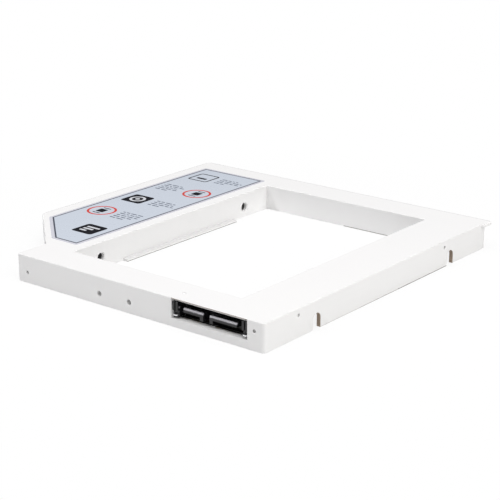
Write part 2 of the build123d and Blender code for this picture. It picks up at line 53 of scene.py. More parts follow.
MM = 0.001
ROOT = "root"
WHITE = (1.0, 1.0, 1.0, 1.0)
WELD_DISTANCE = 0.000002
SMOOTH_ANGLE = math.radians(30.0)
LARGE_FACE_WEIGHT = 90

Colour = tuple[float, float, float]
Place = tuple[float, float, float]
Outline = np.ndarray
Socket = bpy.types.NodeSocket


class Grain(Enum):
    """Fine surface pattern of a finish, each read from Object coordinates."""

    SPARK = "fine even pits, as a spark-eroded mould leaves them"
    FIBRE = "short bright specks of a glass-filled plastic"
    BRUSHED = "faint streaks of rolled or drawn metal"
    WEAVE = "crossed threads under a solder mask"
    FILM = "faint waves of a stuck film"
    FIRED = "soft mottling of a fired ceramic"


# Octaves and roughness of the noise grains, stretch of a streak along Y, and blend of the fibre cells.
NOISE_DETAIL = {Grain.SPARK: 2.0, Grain.FILM: 3.0, Grain.FIRED: 4.0, Grain.BRUSHED: 3.0}
NOISE_ROUGHNESS = 0.55
STREAK_SCALE = (1.0, 0.06, 1.0)
FIBRE_SMOOTHNESS = 0.1


@dataclass(frozen=True)
class PaintedShadeZone:
    """Box in which the moulding's colour is darkened as painted shade.

    Args:
        low: lowest corner, in millimetres from the frame box's lowest corner.
        high: highest corner, measured likewise.
        tone: linear colour of the painted shade in the box.
    """

    low: Place
    high: Place
    tone: Colour


# Colours of painted shade, laid on the white moulding where shade falls: in recesses, along edges and at its
# feet.
LEDGE_PAINTED_SHADE = (0.76, 0.76, 0.76)
NOTCH_PAINTED_SHADE = (0.5, 0.4, 0.32)
EDGE_PAINTED_SHADE = (0.46, 0.42, 0.39)
THIN_STRIP_PAINTED_SHADE = (0.17, 0.14, 0.125)
PALE_FOOT_PAINTED_SHADOW = (0.66, 0.65, 0.63)
MIDDLE_FOOT_PAINTED_SHADOW = (0.48, 0.47, 0.45)
FOOT_PAINTED_SHADOW = (0.3, 0.29, 0.27)
RIM_PAINTED_SHADE = (0.5, 0.5, 0.5)
# Boxes of painted shade on the white moulding, each with its colour.
MOULDING_PAINTED_SHADE = (
    # Painted shade on the tops of the left and right ledges, darkening them to the tone of the walls.
    PaintedShadeZone((39.45, 35.0, 0.75), (41.45, 96.0, 0.85), LEDGE_PAINTED_SHADE),
    PaintedShadeZone((107.4, 35.0, 0.75), (109.45, 96.0, 0.85), LEDGE_PAINTED_SHADE),
    # Warm painted shade on the cheeks of the near and far notches in the right face.
    PaintedShadeZone((126.4, 23.5, -0.1), (127.97, 27.5, 5.15), NOTCH_PAINTED_SHADE),
    PaintedShadeZone((126.4, 100.1, -0.1), (127.97, 104.1, 5.15), NOTCH_PAINTED_SHADE),
    # Painted shade on the rounded edge over the plug opening, and darker painted shade on the thin strip
    # under that edge.
    PaintedShadeZone((92.8, -0.1, 8.98), (121.8, 0.08, 9.16), EDGE_PAINTED_SHADE),
    PaintedShadeZone((92.8, -0.1, 8.85), (121.8, 0.05, 8.98), THIN_STRIP_PAINTED_SHADE),
    # Painted contact shadow along the foot of the right face between its notches, darker from near to far.
    PaintedShadeZone((127.9, 27.5, -0.1), (128.1, 48.0, 0.2), PALE_FOOT_PAINTED_SHADOW),
    PaintedShadeZone((127.9, 48.0, -0.1), (128.1, 70.0, 0.2), MIDDLE_FOOT_PAINTED_SHADOW),
    PaintedShadeZone((127.9, 70.0, -0.1), (128.1, 100.1, 0.25), FOOT_PAINTED_SHADOW),
    # Painted contact shadow along the feet of the left ledge and of the window's far wall.
    PaintedShadeZone((41.3, 35.8, -0.1), (41.5, 95.0, 0.2), FOOT_PAINTED_SHADOW),
    PaintedShadeZone((75.0, 115.55, -0.1), (109.6, 115.75, 0.25), FOOT_PAINTED_SHADOW),
    # Painted edge shade along the far rim of the lip and the left rim of the wing.
    PaintedShadeZone((1.0, 128.1, 8.9), (128.0, 128.6, 9.4), RIM_PAINTED_SHADE),
    PaintedShadeZone((-0.1, 38.0, 8.9), (0.4, 127.5, 9.4), RIM_PAINTED_SHADE),
)


@dataclass(frozen=True)
class NoseHighlight:
    """Painted highlight on the noses of the plug's tongues: a pale, speckled colour that stands in for the
    lamps' highlight there.

    Args:
        colour: linear colour of the painted highlight.
        drop: from the top of the plug down to the top of the noses.
        recess: from the front of the plug back to the tips of the noses.
        fade: how far below the noses' top the painted highlight starts, and where it is full.
        band: lowest and highest place of the painted highlight from the noses' top.
        depth: first and last place of the painted highlight behind the tips.
        speck_scale: specks per metre.
        speck_detail: octaves of the specks' noise.
        speck_share: share that the specks add to the painted highlight.
        least_share: share of the painted highlight between the specks.
    """

    colour: Colour
    drop: float = 1.55 * MM
    recess: float = 0.6 * MM
    fade: tuple[float, float] = (0.8 * MM, 0.15 * MM)
    band: tuple[float, float] = (-0.92 * MM, 0.02 * MM)
    depth: tuple[float, float] = (-0.03 * MM, 0.53 * MM)
    speck_scale: float = 2500.0
    speck_detail: float = 2.0
    speck_share: float = 0.5
    least_share: float = 0.7


@dataclass(frozen=True)
class Finish:
    """One finish of the caddy.

    Args:
        name: material name.
        colour: base colour, linear.
        roughness: middle of the roughness range.
        grain: fine pattern that moves the roughness, the colour and the bump.
        grain_size: length of one grain in metres.
        depth: height of the bump in metres.
        spread: how far the grain moves the roughness, up and down.
        tint: how far the grain darkens the colour, as a share.
        metallic: 1 on bare metal.
        specular: specular level.
        coat: clear coat weight.
        coat_roughness: roughness of the clear coat.
        nose_highlight: painted highlight on the noses of the plug's tongues, if it has any.
        shade_zones: boxes in which the colour is darkened as painted shade.
    """

    name: str
    colour: Colour
    roughness: float
    grain: Grain
    grain_size: float
    depth: float
    spread: float = 0.06
    tint: float = 0.03
    metallic: float = 0.0
    specular: float = 0.5
    coat: float = 0.0
    coat_roughness: float = 0.12
    nose_highlight: NoseHighlight | None = None
    shade_zones: tuple[PaintedShadeZone, ...] = ()


class Finishes(Enum):
    """Every finish on the caddy."""

    # The white moulding is darkened by painted shade in the boxes listed above.
    WHITE_MOULDING = Finish("white_moulding", (0.88, 0.88, 0.877), 0.5, Grain.SPARK, 0.00022, 0.000004,
                            spread=0.05, tint=0.02, specular=0.06, shade_zones=MOULDING_PAINTED_SHADE)
    LABEL_FILM = Finish("label_film", (0.75, 0.755, 0.83), 0.26, Grain.FILM, 0.004, 0.000006,
                        spread=0.04, tint=0.03, coat=0.2)
    PRINT_FIELD = Finish("print_field", (0.7, 0.762, 0.855), 0.28, Grain.FILM, 0.006, 0.000006,
                         spread=0.05, tint=0.03, coat=0.2)
    PRINT_BORDER = Finish("print_border", (0.09, 0.1, 0.13), 0.34, Grain.SPARK, 0.0004, 0.000001,
                          specular=0.3)
    PRINT_DARK = Finish("print_dark", (0.012, 0.012, 0.017), 0.34, Grain.SPARK, 0.0004, 0.000001,
                        specular=0.12)
    PRINT_RED = Finish("print_red", (0.7, 0.075, 0.06), 0.32, Grain.SPARK, 0.0004, 0.000001,
                       specular=0.3)
    PRINT_PALE = Finish("print_pale", (0.74, 0.76, 0.8), 0.32, Grain.SPARK, 0.0004, 0.000001)
    PRINT_GREY = Finish("print_grey", (0.11, 0.13, 0.18), 0.34, Grain.SPARK, 0.0004, 0.000001,
                        specular=0.3)
    # The black plastic carries a pale painted highlight on the noses of the plug's tongues.
    BLACK_PLASTIC = Finish("black_plastic", (0.012, 0.012, 0.014), 0.3, Grain.FIBRE, 0.00012, 0.000002,
                           spread=0.08, tint=0.2, nose_highlight=NoseHighlight((0.43, 0.415, 0.46)))
    SOLDER_MASK = Finish("solder_mask", (0.012, 0.11, 0.045), 0.35, Grain.WEAVE, 0.0004, 0.000006,
                         tint=0.12, coat=0.3)
    GOLD_PLATE = Finish("gold_plate", (0.86, 0.63, 0.26), 0.24, Grain.BRUSHED, 0.0001, 0.000001,
                        metallic=1.0)
    TIN_PLATE = Finish("tin_plate", (0.78, 0.78, 0.8), 0.27, Grain.BRUSHED, 0.00012, 0.0000015,
                       metallic=1.0)
    SCREW_STEEL = Finish("screw_steel", (0.58, 0.58, 0.6), 0.32, Grain.BRUSHED, 0.00015, 0.000002,
                         metallic=1.0)
    TAN_CERAMIC = Finish("tan_ceramic", (0.42, 0.27, 0.14), 0.45, Grain.FIRED, 0.0003, 0.000003,
                         tint=0.12)
    DARK_CERAMIC = Finish("dark_ceramic", (0.03, 0.03, 0.034), 0.4, Grain.FIRED, 0.0003, 0.000003,
                          tint=0.12)


class ShaderTree:
    """Short way to write a node tree: add a node, set its plain inputs and join the rest."""

    def __init__(self, tree: bpy.types.NodeTree) -> None:
        """Empties the tree.

        Args:
            tree: node tree of a material or a world.
        """
        self.tree = tree
        tree.nodes.clear()

    def add(self, kind: str, inputs: dict | None = None, **settings: object) -> bpy.types.Node:
        """Adds one node.

        Args:
            kind: node type, such as ShaderNodeMath.
            inputs: socket name or number to a plain value or an output socket.
            settings: attributes of the node.

        Returns:
            The new node.
        """
        node = self.tree.nodes.new(kind)
        for key, value in settings.items():
            setattr(node, key, value)
        for key, value in (inputs or {}).items():
            if isinstance(value, Socket):
                self.tree.links.new(value, node.inputs[key])
            else:
                node.inputs[key].default_value = value
        return node

    def math(self, operation: str, *values: object, use_clamp: bool = False) -> Socket:
        """Adds a Math node on the given values or sockets and returns its output."""
        inputs = dict(enumerate(values))
        return self.add("ShaderNodeMath", inputs, operation=operation, use_clamp=use_clamp).outputs[0]

    def between(self, value: Socket, low: float, high: float) -> Socket:
        """Adds a test that gives 1 where the value lies between low and high, and 0 elsewhere."""
        return self.math("COMPARE", value, (low + high) / 2.0, (high - low) / 2.0)

    def smooth_rise(self, value: Socket, start: float, end: float, first: float = 0.0,
                    last: float = 1.0) -> Socket:
        """Adds a smooth rise.

        Args:
            value: socket that drives it.
            start: value at which it begins.
            end: value at which it ends.
            first: result up to the start.
            last: result from the end on.

        Returns:
            The result's socket.
        """
        inputs = {"Value": value, "From Min": start, "From Max": end, "To Min": first, "To Max": last}
        return self.add("ShaderNodeMapRange", inputs, interpolation_type="SMOOTHSTEP").outputs[0]

    def noise(self, place: Socket, scale: float, detail: float, roughness: float = 0.5) -> Socket:
        """Adds a Noise texture.

        Args:
            place: coordinates that the noise reads.
            scale: grains per metre.
            detail: octaves.
            roughness: weight of the finer octaves.

        Returns:
            The noise value.
        """
        inputs = {"Vector": place, "Scale": scale, "Detail": detail, "Roughness": roughness}
        return self.add("ShaderNodeTexNoise", inputs).outputs[0]

    def place(self) -> Socket:
        """Adds the Object coordinates and returns them."""
        return self.add("ShaderNodeTexCoord").outputs["Object"]

    def axes(self, place: Socket) -> bpy.types.NodeOutputs:
        """Splits coordinates and returns the outputs X, Y and Z."""
        return self.add("ShaderNodeSeparateXYZ", {0: place}).outputs

    def mix(self, share: Socket, first: Socket | Colour, second: Socket | Colour) -> Socket:
        """Mixes two colours, each a socket or a plain linear colour.

        A Mix node set to colour has its factor at input 0, its colours at inputs 6 and 7, and its result
        at output 2.

        Args:
            share: 0 for the first colour, 1 for the second.
            first: colour at 0.
            second: colour at 1.

        Returns:
            The mixed colour.
        """
        inputs: dict[int, object] = {0: share}
        for number, colour in ((6, first), (7, second)):
            inputs[number] = colour if isinstance(colour, Socket) else (*colour, 1.0)
        return self.add("ShaderNodeMix", inputs, data_type="RGBA").outputs[2]


class Painter:
    """Makes each finish's material once, and dresses objects with it."""

    def __init__(self) -> None:
        """Starts with no material made."""
        self.made: dict[str, bpy.types.Material] = {}

    def grain_value(self, shader: ShaderTree, finish: Finish) -> Socket:
        """Builds the 0 to 1 pattern of a finish's grain.

        The weave is half the product of two sines, one along X and one along Y, plus a half.

        Args:
            shader: tree to add to.
            finish: finish whose grain is wanted.

        Returns:
            The pattern's output socket.
        """
        place = shader.place()
        scale = 1.0 / finish.grain_size
        if finish.grain is Grain.FIBRE:
            cells = shader.add("ShaderNodeTexVoronoi", {"Vector": place, "Scale": scale})
            return shader.math("SMOOTH_MIN", cells.outputs["Distance"], 1.0, FIBRE_SMOOTHNESS)
        if finish.grain is Grain.WEAVE:
            axes = shader.axes(place)
            turn = 2.0 * math.pi * scale
            along, across = (shader.math("SINE", shader.math("MULTIPLY", axes[axis], turn)) for axis in "XY")
            return shader.math("MULTIPLY_ADD", shader.math("MULTIPLY", along, across), 0.5, 0.5)
        if finish.grain is Grain.BRUSHED:
            place = shader.add("ShaderNodeMapping", {"Vector": place, "Scale": STREAK_SCALE}).outputs[0]
        return shader.noise(place, scale, NOISE_DETAIL[finish.grain], NOISE_ROUGHNESS)

    def material(self, finish: Finish) -> bpy.types.Material:
        """Returns the finish's material, made on first use.

        Args:
            finish: finish to make.

        Returns:
            A material whose colour, roughness and bump follow the grain, with any painted highlight and
            painted shade in its colour.
        """
        if finish.name in self.made:
            return self.made[finish.name]
        material = bpy.data.materials.new(finish.name)
        material.use_nodes = True
        shader = ShaderTree(material.node_tree)
        grain = self.grain_value(shader, finish)
        dark = tuple(part * (1.0 - finish.tint) for part in finish.colour)
        colour = shader.mix(grain, finish.colour, dark)
        # The black plastic's colour gets a painted highlight on the plug's noses, and the white moulding's
        # colour gets painted shade in its boxes.
        if finish.nose_highlight:
            colour = self.paint_nose_highlight(shader, colour, finish.nose_highlight)
        if finish.shade_zones:
            colour = self.tone(shader, colour, finish.shade_zones)
        low = finish.roughness - finish.spread
        rough = shader.math("MULTIPLY_ADD", grain, 2.0 * finish.spread, low)
        bump = shader.add("ShaderNodeBump", {"Height": grain, "Distance": finish.depth, "Strength": 1.0})
        surface = shader.add("ShaderNodeBsdfPrincipled", {
            "Base Color": colour, "Roughness": rough, "Normal": bump.outputs["Normal"],
            "Metallic": finish.metallic, "Specular IOR Level": finish.specular,
            "Coat Weight": finish.coat, "Coat Roughness": finish.coat_roughness,
        })
        shader.add("ShaderNodeOutputMaterial", {"Surface": surface.outputs[0]})
        self.made[finish.name] = material
        return material

    @staticmethod
    def tone(shader: ShaderTree, colour: Socket, shade_zones: Iterable[PaintedShadeZone]) -> Socket:
        """Paints shade: changes the colour to each box's painted shade where the Object X, Y and Z all lie
        between its corners.

        Args:
            shader: tree to add to.
            colour: colour outside the boxes.
            shade_zones: boxes of painted shade and their colours.

        Returns:
            The colour with the painted shade.
        """
        corner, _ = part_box("frame")
        axes = shader.axes(shader.place())
        for zone in shade_zones:
            share = 1.0
            for axis, start, low, high in zip("XYZ", corner, zone.low, zone.high):
                inside = shader.between(axes[axis], start + low * MM, start + high * MM)
                share = shader.math("MULTIPLY", inside, share)
            colour = shader.mix(share, colour, zone.tone)
        return colour

    @staticmethod
    def paint_nose_highlight(shader: ShaderTree, colour: Socket, nose_highlight: NoseHighlight) -> Socket:
        """Paints a highlight: turns the colour pale on the noses of the plug's tongues.

        The share rises smoothly with the Object Z over the upper half of a nose, counts only on the first
        half millimetre of Y behind its tip, and is broken up by a fine noise.

        Args:
            shader: tree to add to.
            colour: colour of the plastic without the painted highlight.
            nose_highlight: place, strength and colour of the painted highlight.

        Returns:
            The colour with the painted highlight on the noses.
        """
        (_, front, _), (_, _, top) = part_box("plug_housing")
        nose_top = top - nose_highlight.drop
        tip = front + nose_highlight.recess
        place = shader.place()
        axes = shader.axes(place)
        rise = shader.smooth_rise(axes["Z"], nose_top - nose_highlight.fade[0], nose_top - nose_highlight.fade[1])
        in_band = shader.between(axes["Z"], nose_top + nose_highlight.band[0], nose_top + nose_highlight.band[1])
        near = shader.between(axes["Y"], tip + nose_highlight.depth[0], tip + nose_highlight.depth[1])
        specks = shader.noise(place, nose_highlight.speck_scale, nose_highlight.speck_detail)
        speckled = shader.math("MULTIPLY_ADD", specks, nose_highlight.speck_share, nose_highlight.least_share)
        share = shader.math("MULTIPLY", shader.math("MULTIPLY", rise, in_band),
                            shader.math("MULTIPLY", near, speckled))
        return shader.mix(share, colour, nose_highlight.colour)

    def dress(self, thing: bpy.types.Object, finish: Finishes) -> None:
        """Gives every material slot of an object one finish.

        Args:
            thing: a CAD node or a new piece.
            finish: finish to use.
        """
        material = self.material(finish.value)
        if not thing.material_slots:
            thing.data.materials.append(material)
        for slot in thing.material_slots:
            slot.material = material


def smooth_group() -> bpy.types.NodeTree:
    """Makes the node group that welds loose triangles and shades shallow edges smooth.

    Returns:
        The geometry node group.
    """
    group = bpy.data.node_groups.new("weld_and_smooth", "GeometryNodeTree")
    group.interface.new_socket("Geometry", in_out="INPUT", socket_type="NodeSocketGeometry")
    group.interface.new_socket("Geometry", in_out="OUTPUT", socket_type="NodeSocketGeometry")
    nodes = group.nodes
    links = group.links
    start = nodes.new("NodeGroupInput")
    weld = nodes.new("GeometryNodeMergeByDistance")
    weld.inputs["Distance"].default_value = WELD_DISTANCE
    faces = nodes.new("GeometryNodeSetShadeSmooth")
    angle = nodes.new("GeometryNodeInputMeshEdgeAngle")
    flat = nodes.new("ShaderNodeMath")
    flat.operation = "LESS_THAN"
    flat.inputs[1].default_value = SMOOTH_ANGLE
    edges = nodes.new("GeometryNodeSetShadeSmooth")
    edges.domain = "EDGE"
    end = nodes.new("NodeGroupOutput")
    links.new(start.outputs[0], weld.inputs[0])
    links.new(weld.outputs[0], faces.inputs[0])
    links.new(faces.outputs[0], edges.inputs[0])
    links.new(angle.outputs[0], flat.inputs[0])
    links.new(flat.outputs[0], edges.inputs["Shade Smooth"])
    links.new(edges.outputs[0], end.inputs[0])
    return group


def add_piece(name: str, points: np.ndarray, faces: Iterable[Sequence[int]]) -> bpy.types.Object:
    """Puts a computed surface into the scene as one piece that rides on the caddy.

    Args:
        name: piece name.
        points: (n, 3) array in metres.
        faces: corner numbers of each face.

    Returns:
        The new object.
    """
    mesh = bpy.data.meshes.new(name)
    mesh.from_pydata(points.tolist(), [], [list(map(int, face)) for face in faces])
    mesh.validate()
    thing = bpy.data.objects.new(name, mesh)
    bpy.context.scene.collection.objects.link(thing)
    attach(thing, ROOT)
    log.info("%s: %d faces", name, len(mesh.polygons))
    return thing


@dataclass
class Print:
    """Thin closed shapes of one ink, gathered into one mesh.

    Args:
        low: height of the shapes' underside.
        high: height of their top.
        points: one array of points for each shape.
        faces: arrays of corner numbers, counted over all points.
        count: number of points so far.
    """

    low: float
    high: float
    points: list[np.ndarray] = field(default_factory=list)
    faces: list[np.ndarray] = field(default_factory=list)
    count: int = 0

    def band(self, outer: Outline, inner: Outline) -> None:
        """Adds a closed band between two outlines of equal length.

        The band is a loop of quads on four rings: outer foot, outer top, inner top, inner foot.

        Args:
            outer: (n, 2) points, anticlockwise.
            inner: (n, 2) points, matched with the outer ones.
        """
        n = len(outer)
        rings = [(outer, self.low), (outer, self.high), (inner, self.high), (inner, self.low)]
        block = np.concatenate([np.column_stack([ring, np.full(n, z)]) for ring, z in rings])
        step = np.arange(n)
        ahead = (step + 1) % n
        for k in range(len(rings)):
            a = k * n
            b = (k + 1) % len(rings) * n
            self.faces.append(self.count + np.column_stack([a + step, a + ahead, b + ahead, b + step]))
        self.points.append(block)
        self.count += len(block)

    def plate(self, outline: Outline) -> None:
        """Adds a closed plate over a convex outline: two fans about the middle and a wall.

        Args:
            outline: (n, 2) points, anticlockwise.
        """
        n = len(outline)
        middle = outline.mean(axis=0)
        block = np.concatenate([
            np.column_stack([outline, np.full(n, self.low)]),
            np.column_stack([outline, np.full(n, self.high)]),
            [[*middle, self.low], [*middle, self.high]],
        ])
        step = np.arange(n)
        ahead = (step + 1) % n
        foot = np.full(n, 2 * n)
        top = np.full(n, 2 * n + 1)
        self.faces.append(self.count + np.column_stack([ahead, step, foot]))
        self.faces.append(self.count + np.column_stack([n + step, n + ahead, top]))
        self.faces.append(self.count + np.column_stack([step, ahead, n + ahead, n + step]))
        self.points.append(block)
        self.count += len(block)

    def piece(self, name: str) -> bpy.types.Object:
        """Turns the gathered shapes into one piece.

        Args:
            name: piece name.

        Returns:
            The new object.
        """
        faces = [face for block in self.faces for face in block.tolist()]
        return add_piece(name, np.concatenate(self.points), faces)


def circle(x: float, y: float, radius: float, sides: int = 48) -> Outline:
    """Points of a circle: centre plus radius times the cosine and sine of the angle.

    Args:
        x: middle along X.
        y: middle along Y.
        radius: radius in metres.
        sides: number of points.

    Returns:
        (n, 2) outline, anticlockwise.
    """
    angle = np.linspace(0.0, 2.0 * math.pi, sides, endpoint=False)
    return np.column_stack([x + radius * np.cos(angle), y + radius * np.sin(angle)])


@dataclass(frozen=True)
class Block:
    """Rectangle with rounded corners.

    Args:
        width: size along X.
        height: size along Y.
        corner: corner radius.
        steps: points on each corner.
    """

    width: float
    height: float
    corner: float
    steps: int = 6

    def at(self, x: float, y: float) -> Outline:
        """Points of the block, whose corners are quarter circles about inset corner centres.

        Args:
            x: middle along X.
            y: middle along Y.

        Returns:
            (n, 2) outline, anticlockwise.
        """
        quarter = np.linspace(0.0, math.pi / 2.0, self.steps)
        angle = (quarter[None, :] + np.arange(4)[:, None] * math.pi / 2.0).ravel()
        side_x = np.repeat([1.0, -1.0, -1.0, 1.0], self.steps) * (self.width / 2.0 - self.corner)
        side_y = np.repeat([1.0, 1.0, -1.0, -1.0], self.steps) * (self.height / 2.0 - self.corner)
        return np.column_stack([x + side_x + self.corner * np.cos(angle),
                                y + side_y + self.corner * np.sin(angle)])


def inset(corners: Outline, distance: float) -> Outline:
    """Moves each side of a convex outline inwards and meets the moved sides again.

    A side's inward normal is its direction turned a quarter left. The new corner is the point whose
    distance along the two normals beside it equals the moved sides' distances.

    Args:
        corners: (n, 2) corners, anticlockwise.
        distance: how far the sides move.

    Returns:
        (n, 2) corners.
    """
    ahead = np.roll(corners, -1, axis=0) - corners
    normal = np.column_stack([-ahead[:, 1], ahead[:, 0]]) / np.linalg.norm(ahead, axis=1)[:, None]
    reach = (normal * corners).sum(axis=1) + distance
    before = np.roll(normal, 1, axis=0)
    sides = np.stack([before, normal], axis=1)
    reaches = np.stack([np.roll(reach, 1), reach], axis=1)[..., None]
    return np.linalg.solve(sides, reaches)[..., 0]


def soften(corners: Outline, radius: float, steps: int = 6) -> Outline:
    """Rounds each corner with the curve (1-t)^2 a + 2 t (1-t) corner + t^2 b between points on its sides.

    Args:
        corners: (n, 2) corners, anticlockwise.
        radius: distance of a and b from the corner.
        steps: points on each corner.

    Returns:
        (n * steps, 2) outline.
    """
    ahead = np.roll(corners, -1, axis=0) - corners
    ahead /= np.linalg.norm(ahead, axis=1)[:, None]
    start = corners - radius * np.roll(ahead, 1, axis=0)
    end = corners + radius * ahead
    t = np.linspace(0.0, 1.0, steps)[None, :, None]
    curve = (1 - t) ** 2 * start[:, None] + 2 * t * (1 - t) * corners[:, None] + t ** 2 * end[:, None]
    return curve.reshape(-1, 2)


@dataclass
class Label:
    """Printed film on the wing and the left bar: a border, tiles, rings and rows of short bars.

    Args:
        painter: maker of the finishes.
        film: thickness of the film.
        ink: thickness of the printed shapes, drawn thick enough to be a solid.
        corner: how far the film's corners are rounded.
        cut: length of the cut along the near left corner, measured along Y.
        slant: its length along X for each length along Y, as on the wing.
        border_inset: from the film's edge to the border.
        border_width: width of the border.
        column_inset: from the label's sides to the middles of the two columns.
        first_motif: from the far end to the first motif.
        motif_pitch: distance between motifs along Y.
        tile: outside of a square motif.
        tile_window: opening of the framed square.
        tile_bar: bar in the framed square.
        tile_bar_drop: how far the bar lies below the square's middle.
        ring: outer radius of a red ring.
        ring_width: width of the ring.
        core: square in the ring.
        core_bar: bar beside that square.
        core_bar_shift: distance of the bar from the ring's middle.
        target: outer, inner and dot radius of the pale target.
        chart_widths: widths of the pale bars on a tile.
        chart_bar: height and corner radius of a pale bar.
        chart_pitch: distance between the pale bars.
        row_width: width of a row of short bars.
        row_pitch: distance between rows.
        row_counts: numbers of rows, taken in turn.
        row_bars: most short bars in a row.
        last_row_share: width of the last row as a share of the others.
        dash_lengths: shortest and longest short bar, in millimetres.
        dash_height: height of a short bar and space after it.
        dash_corner: corner radius of a short bar.
        dash_steps: points on each corner of a short bar.
    """

    painter: Painter
    film: float = 0.06 * MM
    ink: float = 0.012 * MM
    corner: float = 0.9 * MM
    cut: float = 16.6 * MM
    slant: float = 26.2 / 23.6
    border_inset: float = 1.15 * MM
    border_width: float = 0.55 * MM
    column_inset: float = 8.8 * MM
    first_motif: float = 11.6 * MM
    motif_pitch: float = 18.8 * MM
    tile: Block = Block(9.2 * MM, 9.2 * MM, 1.1 * MM)
    tile_window: Block = Block(7.9 * MM, 7.9 * MM, 0.5 * MM)
    tile_bar: Block = Block(4.6 * MM, 1.5 * MM, 0.3 * MM)
    tile_bar_drop: float = 1.2 * MM
    ring: float = 5.4 * MM
    ring_width: float = 0.85 * MM
    core: Block = Block(3.4 * MM, 3.4 * MM, 0.4 * MM)
    core_bar: Block = Block(3.4 * MM, 0.6 * MM, 0.15 * MM)
    core_bar_shift: float = 2.9 * MM
    target: tuple[float, float, float] = (3.1 * MM, 2.1 * MM, 0.9 * MM)
    chart_widths: tuple[float, ...] = (5.8 * MM, 4.4 * MM, 3.0 * MM)
    chart_bar: tuple[float, float] = (1.1 * MM, 0.3 * MM)
    chart_pitch: float = 1.9 * MM
    row_width: float = 11.4 * MM
    row_pitch: float = 1.75 * MM
    row_counts: tuple[int, int] = (4, 5)
    row_bars: int = 8
    last_row_share: float = 0.62
    dash_lengths: tuple[float, float] = (0.9, 3.2)
    dash_height: float = 0.6 * MM
    dash_corner: float = 0.15 * MM
    dash_steps: int = 3

    def __post_init__(self) -> None:
        """Makes one layer for each ink: the field on the film, the inks on it, the pale ink on the dark."""
        self.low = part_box("label")[0][2]
        top = self.low + self.film
        self.ground = Print(top, top + self.ink)
        self.border, self.dark, self.red, self.grey = (Print(top, top + 2.0 * self.ink) for _ in range(4))
        self.pale = Print(top, top + 3.0 * self.ink)

    def corners(self) -> Outline:
        """Corners of the film, from the label's box, with the near left one cut along the wing."""
        (x0, y0, _), (x1, y1, _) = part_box("label")
        near_left = [x0 + self.cut * self.slant, y0]
        return np.array([near_left, [x1, y0], [x1, y1], [x0, y1], [x0, y0 + self.cut]])

    def build(self) -> None:
        """Builds the film and its inks, and stands them in for the label's solid."""
        film = Print(self.low, self.low + self.film)
        film.plate(soften(self.corners(), self.corner))
        film_piece = film.piece("label_film")
        self.painter.dress(film_piece, Finishes.LABEL_FILM)
        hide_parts("label")

        outer = inset(self.corners(), self.border_inset)
        self.ground.plate(inset(outer, self.border_width / 2.0))
        self.border.band(outer, inset(outer, self.border_width))
        self.motifs()
        for ink, name, finish in (
            (self.ground, "label_field", Finishes.PRINT_FIELD),
            (self.border, "label_border", Finishes.PRINT_BORDER),
            (self.dark, "label_dark_ink", Finishes.PRINT_DARK),
            (self.red, "label_red_ink", Finishes.PRINT_RED),
            (self.grey, "label_grey_ink", Finishes.PRINT_GREY),
            (self.pale, "label_pale_ink", Finishes.PRINT_PALE),
        ):
            self.painter.dress(ink.piece(name), finish)

    def motifs(self) -> None:
        """Lays out the motifs from the far end, each but the last with a block of short bars beside it."""
        (x0, _, _), (x1, y1, _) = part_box("label")
        left = x0 + self.column_inset
        right = x1 - self.column_inset
        plan = (
            (self.framed_square, left, right),
            (self.ringed_square, right, left),
            (self.target_tile, left, right),
            (self.ringed_square, left, right),
            (self.barred_tile, right, None),
        )
        for number, (motif, place, rows) in enumerate(plan):
            y = y1 - self.first_motif - number * self.motif_pitch
            motif(place, y)
            if rows is not None:
                self.rows(rows, y, self.row_counts[number % 2], number)

    def framed_square(self, x: float, y: float) -> None:
        """Adds a dark square outline with a bar in it."""
        self.dark.band(self.tile.at(x, y), self.tile_window.at(x, y))
        self.dark.plate(self.tile_bar.at(x, y - self.tile_bar_drop))

    def ringed_square(self, x: float, y: float) -> None:
        """Adds a red ring with a dark square and two dark bars in it."""
        self.red.band(circle(x, y, self.ring), circle(x, y, self.ring - self.ring_width))
        self.dark.plate(self.core.at(x, y))
        for side in (-1.0, 1.0):
            self.dark.plate(self.core_bar.at(x, y + side * self.core_bar_shift))

    def target_tile(self, x: float, y: float) -> None:
        """Adds a dark tile with a pale ring and a pale dot."""
        outer, inner, dot = self.target
        self.dark.plate(self.tile.at(x, y))
        self.pale.band(circle(x, y, outer), circle(x, y, inner))
        self.pale.plate(circle(x, y, dot))

    def barred_tile(self, x: float, y: float) -> None:
        """Adds a dark tile with three pale bars of falling length, in line on the left."""
        self.dark.plate(self.tile.at(x, y))
        for row, width in enumerate(self.chart_widths):
            middle = x - (self.chart_widths[0] - width) / 2.0
            self.pale.plate(Block(width, *self.chart_bar).at(middle, y + (1.0 - row) * self.chart_pitch))

    def rows(self, x: float, y: float, count: int, seed: int) -> None:
        """Adds rows of short bars, in place of small print.

        Args:
            x: middle of the rows.
            y: middle of the block.
            count: number of rows.
            seed: start of the bars' lengths.
        """
        lengths = np.random.default_rng(seed).uniform(*self.dash_lengths, (count, self.row_bars)) * MM
        for row, bars in enumerate(lengths):
            level = y + ((count - 1) / 2.0 - row) * self.row_pitch
            ends = np.cumsum(bars + self.dash_height)
            room = self.row_width * (self.last_row_share if row == count - 1 else 1.0)
            for bar, end in zip(bars[ends < room], ends[ends < room]):
                dash = Block(bar, self.dash_height, self.dash_corner, self.dash_steps)
                self.grey.plate(dash.at(x - self.row_width / 2.0 + end - bar / 2.0, level))


